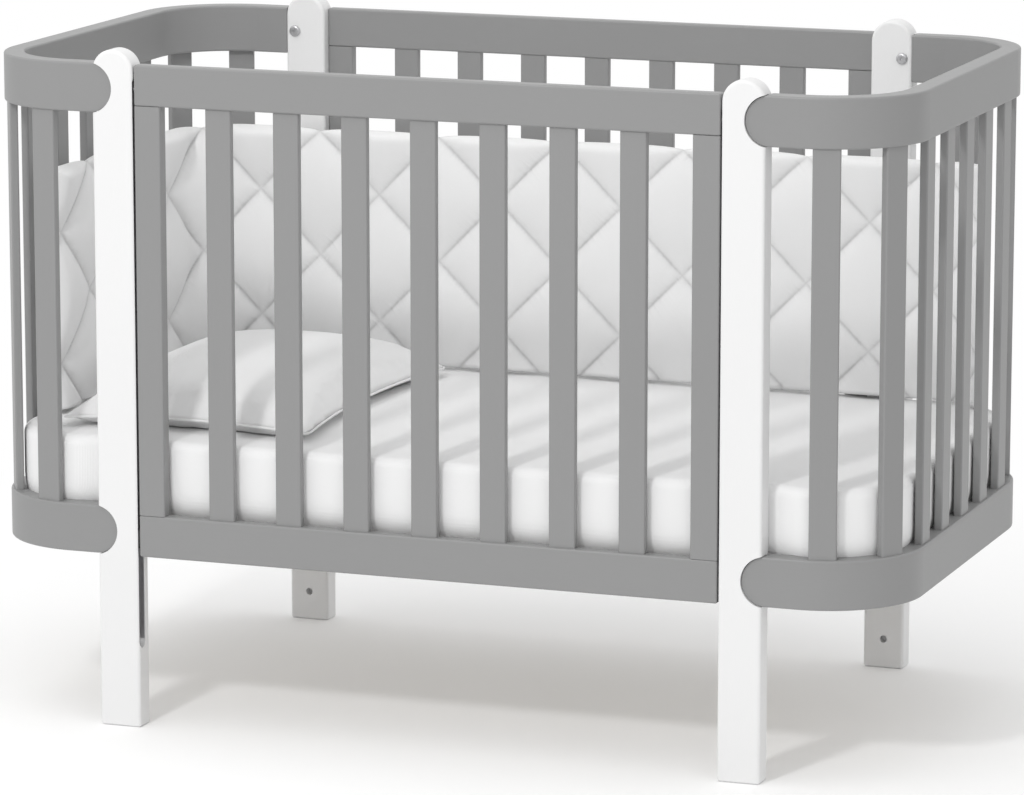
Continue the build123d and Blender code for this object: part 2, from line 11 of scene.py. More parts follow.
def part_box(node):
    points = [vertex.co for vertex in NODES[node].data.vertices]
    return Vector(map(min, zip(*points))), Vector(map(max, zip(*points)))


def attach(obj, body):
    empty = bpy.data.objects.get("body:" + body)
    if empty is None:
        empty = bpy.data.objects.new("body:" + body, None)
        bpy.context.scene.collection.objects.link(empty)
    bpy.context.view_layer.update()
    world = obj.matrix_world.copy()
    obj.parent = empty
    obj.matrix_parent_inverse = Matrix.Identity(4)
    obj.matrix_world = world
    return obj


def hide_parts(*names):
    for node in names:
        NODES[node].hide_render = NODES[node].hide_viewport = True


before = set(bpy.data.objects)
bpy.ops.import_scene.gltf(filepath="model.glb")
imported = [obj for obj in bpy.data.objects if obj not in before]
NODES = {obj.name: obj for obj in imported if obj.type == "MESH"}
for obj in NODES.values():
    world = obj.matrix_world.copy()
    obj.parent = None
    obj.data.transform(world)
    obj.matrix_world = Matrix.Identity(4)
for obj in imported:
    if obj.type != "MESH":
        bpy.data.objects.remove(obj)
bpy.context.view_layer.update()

bl_info = {
    "name": "Slatted crib",
    "version": (1, 0, 0),
    "blender": (4, 5, 0),
    "location": "View3D > Sidebar > Crib",
    "description": "Paints the crib's frame and makes its bedding and its studio",
    "category": "Object",
}

MM = 0.001
WHITE = (1.0, 1.0, 1.0)

# Mattress: its upright corners, the size of its cells, and how far along a post presses on it.
MATTRESS_CORNER = 121 * MM
MATTRESS_CELL = 14 * MM
MATTRESS_LAYER = 13 * MM
MATTRESS_FOOT = 12 * MM
FOOT_SHARE = 0.3
EDGE_FROM, EDGE_WIDTH = 0.8, 0.2
SIDE_DRAW, SIDE_WAVE = 0.2, 1.4
TOP_FALL, TOP_WAVE = 1.6, 0.5
POST_REACH = 55 * MM
POST_GAP = 0.6 * MM
POST_FROM, POST_WIDTH = 0.72, 0.28

# Pillow: how far the middle of each side is drawn in, and the cells of each sheet of cotton.
PILLOW_DRAW = 17 * MM
PILLOW_MARGIN = 3 * MM
PILLOW_CELLS = (44, 60)
PILLOW_VOXEL = 5 * MM
PILLOW_PRESSURE = 4.0
PILLOW_BULGE = (2.3, 2.5, 0.56)
PILLOW_START = 0.9
PILLOW_SEAM_HALF = 2 * MM
PILLOW_BELLY = 16 * MM
PILLOW_CLEAR = 0.6 * MM
PILLOW_FLOOR = 0.4 * MM
PILLOW_LIFT = 5 * MM
PILLOW_RIM_MOVE = 1.0 * MM
PILLOW_MOVE = 15 * MM
PILLOW_FREE = 70 * MM
CLOTH_FRAMES = 20
CORD_RADIUS = 1.7 * MM
CORD_OFFSET = 1.2 * MM
CORD_STEPS = 18

# Bumper: the pad and its way round the crib. The first crossing of its seams is a place on X.
PAD_THICKNESS = 30 * MM
PAD_BEND = 102 * MM
PAD_RIGHT_TURN = radians(55)
PAD_CROSSING = -0.431
PAD_CELLS = 44
PAD_CROWN = 17 * MM
PAD_ROLL = 15 * MM
PAD_RIM = 1.5 * MM
PAD_OUTER = 0.85
PAD_FOOT_ROLL = 3.5
PAD_DOME, PAD_FULL = 2.2, 0.62
PAD_WRINKLE, PAD_WRINKLE_SCALE = 0.5 * MM, 21.0
PAD_PLUMP, PAD_PLUMP_REACH = 0.5, 0.12
PAD_DIP, PAD_DIP_WIDTH, PAD_DIP_DEPTH = 5 * MM, 22 * MM, 60 * MM
PAD_SWAY, PAD_SWAY_LEAN, PAD_SWAY_RISE = 2.5 * MM, 0.4, 0.2
STITCH, STITCH_GAP, THREAD_HALF = 4.2 * MM, 0.13, 0.55 * MM
PULL_WIDTH, SEAM_SHADE_WIDTH = 9.0 * MM, 2.8 * MM

# Lamps: the place, the point they face and their width.
FRONT_LAMP = ((-0.55, -4.2, 3.6), (0.0, 0.0, 0.45), 0.55)
OVERHEAD_LAMP = ((-0.6, -0.4, 3.8), (0.0, 0.0, 0.3), 3.2)

# Camera, as fitted to the photo.
CAMERA_PLACE = (2.6268, -7.1600, 1.9044)
CAMERA_TURN = (radians(19.694), radians(11.021), radians(0.101))
CAMERA_LENS = 187.83
CAMERA_SHIFT = (-0.0430, 0.0155)


# Materials


class Link:
    """One output of a material's node. Arithmetic on it adds Math nodes."""

    def __init__(self, finish, socket):
        self.finish = finish
        self.socket = socket

    def math(self, operation, *values):
        return self.finish.add("ShaderNodeMath", {"operation": operation}, dict(enumerate(values)))

    def __add__(self, other):
        return self.math("ADD", self, other)

    def __sub__(self, other):
        return self.math("SUBTRACT", self, other)

    def __rsub__(self, other):
        return self.math("SUBTRACT", other, self)

    def __mul__(self, other):
        return self.math("MULTIPLY", self, other)

    def __truediv__(self, other):
        return self.math("DIVIDE", self, other)

    def __lt__(self, other):
        return self.math("LESS_THAN", self, other)

    def __gt__(self, other):
        return self.math("GREATER_THAN", self, other)


class Nodes:
    """A node tree and the one method that adds nodes to it."""

    def __init__(self, tree):
        self.tree = tree

    def add(self, kind, settings=None, inputs=None, output=0):
        """Adds a node of any kind: its settings first, then the values or links of its sockets."""
        node = self.tree.nodes.new(kind)
        for name, value in (settings or {}).items():
            if name == "stops":
                ramp = node.color_ramp
                while len(ramp.elements) < len(value):
                    ramp.elements.new(1.0)
                for element, (place, shade) in zip(ramp.elements, value):
                    element.position = place
                    element.color = (shade, shade, shade, 1.0)
            else:
                setattr(node, name, value)
        for name, value in (inputs or {}).items():
            self.put(node.inputs[name], value)
        return Link(self, node.outputs[output])

    def put(self, socket, value):
        """Sets a socket to a number or colour, or links it."""
        if isinstance(value, Link):
            self.tree.links.new(value.socket, socket)
        elif socket.type == "RGBA" and len(value) == 3:
            socket.default_value = (*value, 1.0)
        else:
            socket.default_value = value

    def seen(self):
        """1 for the camera's rays and for the reflected and refracted ones, which meet a white studio."""
        kinds = ("Camera", "Glossy", "Transmission")
        camera, glossy, clear = (self.add("ShaderNodeLightPath", output=f"Is {kind} Ray") for kind in kinds)
        return camera.math("MAXIMUM", camera.math("MAXIMUM", camera, glossy), clear)


class Finish(Nodes):
    """A procedural material and the few calls that build its nodes."""

    def __init__(self, name, roughness, metallic=0.0):
        self.material = bpy.data.materials.new(name)
        self.material.use_nodes = True
        super().__init__(self.material.node_tree)
        self.shader = self.tree.nodes["Principled BSDF"]
        self.shader.inputs["Roughness"].default_value = roughness
        self.shader.inputs["Metallic"].default_value = metallic

    def set(self, name, value):
        self.put(self.shader.inputs[name], value)

    def place(self):
        return self.add("ShaderNodeTexCoord", output="Object")

    def stretched(self, vector, scale):
        return self.add("ShaderNodeMapping", inputs={"Vector": vector, "Scale": scale})

    def split(self, vector):
        node = self.add("ShaderNodeSeparateXYZ", inputs={"Vector": vector}).socket.node
        return [Link(self, output) for output in node.outputs]

    def noise(self, vector, scale, detail=2.0, roughness=0.5):
        values = {"Vector": vector, "Scale": scale, "Detail": detail, "Roughness": roughness}
        return self.add("ShaderNodeTexNoise", inputs=values)

    def blend(self, factor, first, second):
        """A colour between two, as factor goes from 0 to 1."""
        return self.add(
            "ShaderNodeMix", {"data_type": "RGBA"}, {"Factor": factor, 6: first, 7: second}, output=2
        )

    def ramp(self, factor, stops):
        return self.add("ShaderNodeValToRGB", {"stops": stops}, {"Fac": factor})

    def bump(self, height, distance, strength=1.0):
        values = {"Height": height, "Distance": distance, "Strength": strength}
        self.set("Normal", self.add("ShaderNodeBump", inputs=values))

    def sheen(self, weight):
        self.shader.inputs["Sheen Weight"].default_value = weight
        self.shader.inputs["Sheen Roughness"].default_value = 0.5


def tint(colour, factor):
    return tuple(min(1.0, part * factor) for part in colour)


def satin_paint(name, colour, along):
    """Satin paint over smooth wood. along is how closely its marks follow each other on X, Y and Z."""
    paint = Finish(name, 0.42)
    place = paint.place()
    drawn = paint.stretched(place, along)
    brush = paint.noise(drawn, 60.0, 3.0, 0.6)
    grain = paint.noise(drawn, 260.0, 2.0, 0.5)
    peel = paint.noise(place, 900.0, 1.0, 0.4)
    cloud = paint.noise(place, 2.6, 2.0, 0.5)
    shade = cloud * 0.55 + brush * 0.3 + grain * 0.15
    paint.set("Base Color", paint.blend(shade, tint(colour, 0.955), tint(colour, 1.045)))
    paint.set("Roughness", brush * 0.10 + cloud * 0.08 + 0.33)
    paint.bump(brush * 0.5 + grain * 0.3 + peel * 0.35, 0.12 * MM, 0.55)
    paint.shader.inputs["Specular IOR Level"].default_value = 0.42
    return paint.material


def varnished_wood(name, colour, along):
    """Pale sanded wood under a matt varnish, with its grain drawn out along the piece."""
    wood = Finish(name, 0.5)
    place = wood.place()
    drawn = wood.stretched(place, along)
    bend = wood.noise(drawn, 6.0, 3.0, 0.55)
    rings = wood.add(
        "ShaderNodeTexWave",
        {"wave_type": "RINGS", "rings_direction": "SPHERICAL"},
        {"Vector": drawn, "Scale": 14.0, "Distortion": 3.0, "Detail": 3.0, "Detail Scale": 1.4},
        "Fac",
    )
    pores = wood.noise(wood.stretched(drawn, (4.0, 4.0, 4.0)), 90.0, 2.0, 0.6)
    tone = rings * 0.5 + bend * 0.3 + pores * 0.2
    wood.set("Base Color", wood.blend(tone, tint(colour, 1.12), tint(colour, 0.74)))
    wood.set("Roughness", pores * 0.2 + 0.42)
    wood.bump(rings * 0.3 + pores * 0.7, 0.15 * MM, 0.6)
    return wood.material


def plated_steel(name, colour):
    """Zinc-plated steel: fine drawn lines, faint blooms in the plating."""
    steel = Finish(name, 0.34, 1.0)
    place = steel.place()
    lines = steel.noise(steel.stretched(place, (1.0, 1.0, 14.0)), 900.0, 2.0, 0.6)
    bloom = steel.noise(place, 70.0, 4.0, 0.6)
    steel.set("Base Color", steel.blend(bloom, tint(colour, 0.8), tint(colour, 1.15)))
    steel.set("Roughness", bloom * 0.16 + lines * 0.12 + 0.22)
    steel.bump(lines, 0.03 * MM, 0.6)
    return steel.material


def moulded_plastic(name, colour):
    """Matt black plastic with a fine moulded texture and rubbed patches."""
    plastic = Finish(name, 0.5)
    place = plastic.place()
    pits = plastic.noise(place, 1500.0, 1.0, 0.5)
    rub = plastic.noise(plastic.stretched(place, (1.0, 1.0, 0.2)), 90.0, 3.0, 0.6)
    plastic.set("Base Color", plastic.blend(rub, colour, tint(colour, 1.7)))
    plastic.set("Roughness", 0.62 - rub * 0.22)
    plastic.bump(pits, 0.06 * MM, 0.6)
    return plastic.material


def woven_cotton(name, colour, thread, crease):
    """Plain-woven cotton. thread is the width of a pair of threads, crease the depth of its creases."""
    cloth = Finish(name, 0.85)
    place = cloth.place()
    turns = [axis * (tau / thread) for axis in cloth.split(place)]
    weave = sum_of([turn.math("SINE", turn) for turn in turns])
    slub = cloth.noise(place, 420.0, 2.0, 0.6)
    cloud = cloth.noise(place, 5.0, 3.0, 0.55)
    soft = cloth.noise(cloth.stretched(place, (1.0, 1.6, 2.4)), 17.0, 3.0, 0.55)
    cloth.set("Base Color", cloth.blend(cloud * 0.6 + slub * 0.4, tint(colour, 0.965), tint(colour, 1.02)))
    cloth.set("Roughness", slub * 0.14 + 0.76)
    cloth.bump(weave * (0.06 * MM) + slub * (0.10 * MM) + soft * crease, 1.0, 0.8)
    cloth.sheen(0.12)
    return cloth.material


def quilted_cotton(name, colour, thread, pitch, first, top):
    """The bumper's cotton on its own UV map, in metres: along the pad and up. Its seams carry stitches, and
    shade is painted along them.
    """
    cloth = Finish(name, 0.85)
    run, rise = cloth.split(cloth.add("ShaderNodeTexCoord", output="UV"))[:2]
    weave = run.math("SINE", run * (tau / thread)) + run.math("SINE", rise * (tau / thread))
    down = top - rise
    leans = [(run - first + down) / pitch, (run - first - down) / pitch]
    near = [lean.math("PINGPONG", lean, 0.5) * (pitch / sqrt(2)) for lean in leans]
    place = cloth.place()
    slub = cloth.noise(place, 420.0, 2.0, 0.6)
    cloud = cloth.noise(place, 6.0, 3.0, 0.55)
    height = weave * (0.05 * MM) + slub * (0.10 * MM)
    # seam gathers a painted shade mask: the cotton darkens near each seam, where the creases of the
    # quilting lie in shade.
    seam = None
    for gap, other in ((near[0], leans[1]), (near[1], leans[0])):
        walk = other * (pitch / sqrt(2) / STITCH)
        dash = walk.math("PINGPONG", walk, 0.5) > STITCH_GAP
        thread_mask = (gap < THREAD_HALF) * dash
        pull = gap.math("EXPONENT", gap * (-1.0 / PULL_WIDTH))
        waves = {"W": walk * 0.36, "Scale": 1.0, "Detail": 2.0}
        ripple = cloth.add("ShaderNodeTexNoise", {"noise_dimensions": "1D"}, waves)
        height = height + thread_mask * (0.30 * MM) + pull * (ripple - 0.5) * (2.4 * MM)
        shade = gap.math("EXPONENT", gap * (-1.0 / SEAM_SHADE_WIDTH))
        seam = shade if seam is None else seam.math("MAXIMUM", seam, shade)
    base = cloth.blend(cloud * 0.6 + slub * 0.4, tint(colour, 0.965), tint(colour, 1.02))
    # Painted shade: the colour is drawn towards a darker grey along the seams, standing for shade in their
    # creases.
    cloth.set("Base Color", cloth.blend(seam * 0.6, base, tint(colour, 0.72)))
    cloth.set("Roughness", slub * 0.14 + 0.76)
    cloth.bump(height, 1.0, 0.8)
    cloth.sheen(0.12)
    return cloth.material


def sum_of(links):
    total = links[0]
    for link in links[1:]:
        total = total + link
    return total


# Shapes


def show(mesh_builder, name, material, body, nodes):
    """Puts a finished shape in the scene as a padded piece that stands for its CAD nodes."""
    mesh = bpy.data.meshes.new(name)
    mesh_builder.to_mesh(mesh)
    mesh_builder.free()
    return adopt(mesh, name, material, body, nodes)


def adopt(mesh, name, material, body, nodes=()):
    """Puts a mesh in the scene as a piece that rides on a body."""
    mesh.polygons.foreach_set("use_smooth", [True] * len(mesh.polygons))
    mesh.materials.clear()
    mesh.materials.append(material)
    piece = bpy.data.objects.new(name, mesh)
    bpy.context.scene.collection.objects.link(piece)
    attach(piece, body)
    if nodes:
        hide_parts(*nodes)
    return piece


def settled_mesh(piece):
    """The mesh that a piece's modifiers give."""
    depsgraph = bpy.context.evaluated_depsgraph_get()
    return bpy.data.meshes.new_from_object(piece.evaluated_get(depsgraph))


def swell(builder, voxel, pressure, limit):
    """Remeshes a closed shape and fills it like a cushion. limit gives how far each point may move."""
    mesh = bpy.data.meshes.new("filling")
    builder.to_mesh(mesh)
    builder.free()
    piece = bpy.data.objects.new("filling", mesh)
    scene = bpy.context.scene
    scene.collection.objects.link(piece)
    remesh = piece.modifiers.new("remesh", "REMESH")
    remesh.mode = "VOXEL"
    remesh.voxel_size = voxel
    even = settled_mesh(piece)
    piece.modifiers.clear()
    piece.data = even
    bpy.data.meshes.remove(mesh)
    cloth = piece.modifiers.new("cloth", "CLOTH")
    cloth.settings.quality = 6
    cloth.settings.use_pressure = True
    cloth.settings.uniform_pressure_force = pressure
    cloth.settings.effector_weights.gravity = 0.0
    cloth.settings.bending_stiffness = 0.4
    cloth.settings.shrink_min = -0.03
    for step in range(1, CLOTH_FRAMES + 1):
        scene.frame_set(step)
    filled = settled_mesh(piece)
    piece.modifiers.clear()
    scene.frame_set(1)
    for point, target in zip(even.vertices, filled.vertices):
        move = target.co - point.co
        most = limit(point.co)
        if move.length > most:
            move *= most / move.length
        point.co += move
    bpy.data.meshes.remove(filled)
    bpy.data.objects.remove(piece)
    shape = bmesh.new()
    shape.from_mesh(even)
    bpy.data.meshes.remove(even)
    return shape


def finer(shape):
    """One smooth subdivision of a shape."""
    mesh = bpy.data.meshes.new("finer")
    shape.to_mesh(mesh)
    shape.free()
    piece = bpy.data.objects.new("finer", mesh)
    bpy.context.scene.collection.objects.link(piece)
    smooth = piece.modifiers.new("smooth", "SUBSURF")
    smooth.levels = smooth.render_levels = 1
    finished = settled_mesh(piece)
    bpy.data.objects.remove(piece)
    bpy.data.meshes.remove(mesh)
    return finished


def ease(value):
    """A smooth step from 0 to 1."""
    value = min(1.0, max(0.0, value))
    return value * value * (3.0 - 2.0 * value)


def cut_grid(shape, axis, low, high, step):
    """Cuts a shape into even rows across one axis."""
    normal = Vector((0.0, 0.0, 0.0))
    normal[axis] = 1.0
    place = low + step
    while place < high - step / 2:
        spot = Vector((0.0, 0.0, 0.0))
        spot[axis] = place
        parts = shape.verts[:] + shape.edges[:] + shape.faces[:]
        bmesh.ops.bisect_plane(shape, geom=parts, dist=1e-6, plane_co=spot, plane_no=normal)
        place += step


def piping(name, points, radius, material, body):
    """A thin sewn cord of fabric round a seam."""
    curve = bpy.data.curves.new(name, "CURVE")
    curve.dimensions = "3D"
    curve.bevel_depth = radius
    curve.bevel_resolution = 3
    line = curve.splines.new("NURBS")
    line.points.add(len(points) - 1)
    for point, place in zip(line.points, points):
        point.co = (*place, 1.0)
    line.order_u = 3
    line.use_cyclic_u = True
    line.resolution_u = 2
    holder = bpy.data.objects.new(name, curve)
    bpy.context.scene.collection.objects.link(holder)
    mesh = settled_mesh(holder)
    bpy.data.objects.remove(holder)
    bpy.data.curves.remove(curve)
    mesh.name = name
    return adopt(mesh, name, material, body)


# Settings


class CribPaints(bpy.types.PropertyGroup):
    """Colours of the crib's finishes."""

    white: FloatVectorProperty(
        name="White paint", description="Paint of the posts", subtype="COLOR", default=(0.80, 0.80, 0.80)
    )
    grey: FloatVectorProperty(
        name="Grey paint",
        description="Paint of rails and slats",
        subtype="COLOR",
        default=(0.272, 0.272, 0.272),
    )
    wood: FloatVectorProperty(
        name="Bare wood",
        description="Wood of the mattress base",
        subtype="COLOR",
        default=(0.74, 0.69, 0.62),
    )
    steel: FloatVectorProperty(
        name="Steel", description="Plating of bolts and guides", subtype="COLOR", default=(0.55, 0.55, 0.56)
    )
    plastic: FloatVectorProperty(
        name="Plastic", description="Guide shoes", subtype="COLOR", default=(0.02, 0.02, 0.02)
    )
    cotton: FloatVectorProperty(
        name="Cotton", description="Covers of the bedding", subtype="COLOR", default=(0.87, 0.87, 0.87)
    )


class CribBedding(bpy.types.PropertyGroup):
    """Sizes of the mattress, the pillow and the bumper."""

    mattress_edge: FloatProperty(
        name="Mattress edge", description="Rounding of the mattress's rims", unit="LENGTH", default=13 * MM
    )
    pillow_seam: FloatProperty(
        name="Pillow seam", description="Height of the pillow's seam", unit="LENGTH", default=12 * MM
    )
    pillow_crown: FloatProperty(
        name="Pillow crown", description="Rise of the pillow above its seam", unit="LENGTH", default=56 * MM
    )
    quilt_pitch: FloatProperty(
        name="Quilting", description="Distance between seam crossings", unit="LENGTH", default=194 * MM
    )
    quilt_pinch: FloatProperty(
        name="Seam thickness", description="Thickness of the pad at a seam", unit="LENGTH", default=5 * MM
    )
    thread: FloatProperty(
        name="Thread", description="Width of a pair of threads", unit="LENGTH", default=1.1 * MM
    )


class CribStudio(bpy.types.PropertyGroup):
    """Light of the studio."""

    key: FloatProperty(name="Key light", description="Power of the front lamp", unit="POWER", default=70.0)
    top: FloatProperty(
        name="Top light", description="Power of the overhead lamp", unit="POWER", default=16.0
    )
    room: FloatProperty(name="Room light", description="Strength of the light all round", default=0.85)


# Pieces


def assign(names, material):
    for name in names:
        mesh = NODES[name].data
        mesh.materials.clear()
        mesh.materials.append(material)


def named(*endings):
    return [name for name in NODES if name.endswith(endings)]


class CRIB_OT_woodwork(bpy.types.Operator):
    """Paints the posts, rails, stiles and slats and varnishes the mattress base"""

    bl_idname = "crib.woodwork"
    bl_label = "Finish the woodwork"

    def execute(self, context):
        paints = context.scene.crib_paints
        upright = (9.0, 9.0, 1.0)
        level = (1.0, 1.0, 9.0)
        posts = [name for name in NODES if name.startswith("post_")]
        slats = [name for name in NODES if "_slat_" in name] + named("_stile")
        rails = named("_end_top_rail", "_end_bottom_rail", "front_top_rail", "front_bottom_rail")
        rails += named("back_top_rail", "back_bottom_rail")
        assign(posts, satin_paint("White satin paint", paints.white, upright))
        assign(slats, satin_paint("Grey satin paint on slats", paints.grey, upright))
        grey_level = satin_paint("Grey satin paint on rails", paints.grey, level)
        assign(sorted(set(rails)), grey_level)
        lengthwise = varnished_wood("Varnished wood lengthwise", paints.wood, (1.0, 9.0, 9.0))
        across = varnished_wood("Varnished wood across", paints.wood, (9.0, 1.0, 9.0))
        assign(["base_rails"], lengthwise)
        assign(["base_slats", "base_end_boards"], across)
        return {"FINISHED"}


class CRIB_OT_metalwork(bpy.types.Operator):
    """Finishes the bolts, guides, latches, brackets and guide shoes"""

    bl_idname = "crib.metalwork"
    bl_label = "Finish the metalwork"

    def execute(self, context):
        paints = context.scene.crib_paints
        steel = plated_steel("Plated steel", paints.steel)
        metal = ["rail_bolts", "guide_channels", "latch_left", "latch_right", "base_brackets"]
        assign(metal, steel)
        assign(["guide_shoes"], moulded_plastic("Moulded plastic", paints.plastic))
        return {"FINISHED"}


POST_BOXES = [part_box(name) for name in NODES if name.startswith("post_")]


def press_posts(place, high):
    """Draws a mattress's side in where a post presses on it."""
    for near, far in POST_BOXES:
        inner = near.y if near.y > 0 else far.y
        side = 1.0 if inner > 0 else -1.0
        if place.y * side <= 0:
            continue
        gap = max(near.x - place.x, place.x - far.x, 0.0)
        hold = 1.0 - ease(gap / POST_REACH)
        depth = (place.y * side) / (high.y)
        reach = ease((depth - POST_FROM) / POST_WIDTH)
        limit = inner * side - POST_GAP
        over = high.y - limit
        place.y -= side * over * hold * reach
    return place


class CRIB_OT_mattress(bpy.types.Operator):
    """Makes the mattress: a firm foam block in a cotton cover, pressed in by the posts"""

    bl_idname = "crib.mattress"
    bl_label = "Make the mattress"

    def execute(self, context):
        bedding = context.scene.crib_bedding
        low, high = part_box("mattress")
        size = high - low
        middle = (high + low) / 2
        shape = bmesh.new()
        bmesh.ops.create_cube(shape, size=1.0)
        bmesh.ops.scale(shape, vec=size, verts=shape.verts)
        bmesh.ops.translate(shape, vec=middle, verts=shape.verts)
        uprights = [e for e in shape.edges if abs((e.verts[0].co - e.verts[1].co).z) > size.z / 2]
        bmesh.ops.bevel(
            shape,
            geom=uprights,
            offset=MATTRESS_CORNER,
            segments=14,
            affect="EDGES",
            profile=0.5,
            material=-1,
        )
        rims = [e for e in shape.edges if abs((e.verts[0].co - e.verts[1].co).z) < size.z / 2]
        bmesh.ops.bevel(
            shape,
            geom=rims,
            offset=bedding.mattress_edge,
            segments=5,
            affect="EDGES",
            profile=0.5,
            material=-1,
        )
        cut_grid(shape, 0, low.x, high.x, MATTRESS_CELL)
        cut_grid(shape, 1, low.y, high.y, MATTRESS_CELL)
        cut_grid(shape, 2, low.z, high.z, MATTRESS_LAYER)
        for vert in shape.verts:
            vert.co = self.settle(vert.co.copy(), low, high)
        piece_mesh = finer(shape)
        cover = woven_cotton("Mattress cover", context.scene.crib_paints.cotton, bedding.thread, 0.35 * MM)
        adopt(piece_mesh, "mattress_body", cover, "mattress", ["mattress"])
        return {"FINISHED"}

    def settle(self, place, low, high):
        """Moves one point of the block: narrow at its foot, slightly swollen, pressed in by the posts."""
        rise = (place.z - low.z) / (high.z - low.z)
        middle = (high + low) / 2
        foot = MATTRESS_FOOT * (1.0 - ease(rise / FOOT_SHARE))
        soft = noise.noise(Vector((place.x * 3.1, place.y * 4.0, place.z * 5.0)))
        for axis in (0, 1):
            reach = (place[axis] - middle[axis]) / (high[axis] - middle[axis])
            edge = ease((abs(reach) - EDGE_FROM) / EDGE_WIDTH)
            side = 1.0 if reach > 0 else -1.0
            place[axis] -= side * edge * (foot + (SIDE_DRAW - soft * SIDE_WAVE) * MM)
        crown = (1.0 - ((place.x - middle.x) / (high.x - middle.x)) ** 4) * (
            1.0 - ((place.y - middle.y) / (high.y - middle.y)) ** 4
        )
        if rise > 0.5:
            wave = noise.noise(Vector((place.x * 5.0, place.y * 6.5, 3.7)))
            place.z -= (TOP_FALL * (1.0 - crown) + TOP_WAVE - TOP_WAVE * wave) * MM
        return press_posts(place, high)


def pillow_place(across, along, centre, half):
    """A point of the pillow's plan, from -1 to 1 across and along. Its sides are drawn in."""
    x = across * (half.x - PILLOW_DRAW * (1.0 - along * along))
    y = along * (half.y - PILLOW_DRAW * (1.0 - across * across))
    return centre.x + x, centre.y + y


class CRIB_OT_pillow(bpy.types.Operator):
    """Makes the pillow: two sheets of cotton sewn round a soft filling, with a corded seam"""

    bl_idname = "crib.pillow"
    bl_label = "Make the pillow"

    def execute(self, context):
        bedding = context.scene.crib_bedding
        low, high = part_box("pillow")
        centre = (low + high) / 2
        half = (high - low) / 2 + Vector((PILLOW_MARGIN, PILLOW_MARGIN, 0.0))
        seam = low.z + bedding.pillow_seam
        wide, deep, full = PILLOW_BULGE
        shape = bmesh.new()
        bmesh.ops.create_grid(shape, x_segments=PILLOW_CELLS[0], y_segments=PILLOW_CELLS[1], size=1.0)
        sheet = shape.faces[:]
        lifted = bmesh.ops.extrude_face_region(shape, geom=sheet)
        upper = {part for part in lifted["geom"] if isinstance(part, bmesh.types.BMVert)}
        for vert in shape.verts:
            across, along = vert.co.x, vert.co.y
            body = (max(0.0, 1.0 - abs(across) ** wide) * max(0.0, 1.0 - abs(along) ** deep)) ** full
            x, y = pillow_place(across, along, centre, half)
            lift = self.corner_lift(across, along)
            if vert in upper:
                z = seam + lift + PILLOW_SEAM_HALF + bedding.pillow_crown * PILLOW_START * body
            else:
                z = max(low.z + PILLOW_CLEAR, seam + lift - PILLOW_SEAM_HALF - PILLOW_BELLY * body)
            vert.co = (x, y, z)
        bmesh.ops.recalc_face_normals(shape, faces=shape.faces)

        def limit(point):
            inner = min(
                half.x - abs(point.x - centre.x),
                half.y - abs(point.y - centre.y),
            )
            return PILLOW_RIM_MOVE + PILLOW_MOVE * ease(inner / PILLOW_FREE)

        shape = swell(shape, PILLOW_VOXEL, PILLOW_PRESSURE, limit)
        floor = low.z + PILLOW_FLOOR
        for vert in shape.verts:
            vert.co.z = max(vert.co.z, floor)
        paints = context.scene.crib_paints
        cotton = woven_cotton("Pillow cover", paints.cotton, bedding.thread * 0.8, 0.9 * MM)
        adopt(finer(shape), "pillow_body", cotton, "pillow", ["pillow"])
        rim = []
        cord_half = half + Vector((CORD_OFFSET, CORD_OFFSET, 0.0))
        sides = ((-1, -1, 1, 0), (1, -1, 0, 1), (1, 1, -1, 0), (-1, 1, 0, -1))
        for across, along, step_x, step_y in sides:
            for step in range(CORD_STEPS):
                u = across + step_x * 2.0 * step / CORD_STEPS
                v = along + step_y * 2.0 * step / CORD_STEPS
                x, y = pillow_place(u, v, centre, cord_half)
                rim.append((x, y, seam + self.corner_lift(u, v)))
        piping("pillow_piping", rim, CORD_RADIUS, cotton, "pillow")
        return {"FINISHED"}

    def corner_lift(self, across, along):
        """The seam rises a little between the corners, where the filling holds it up."""
        return PILLOW_LIFT * (1.0 - (across * along) ** 2)


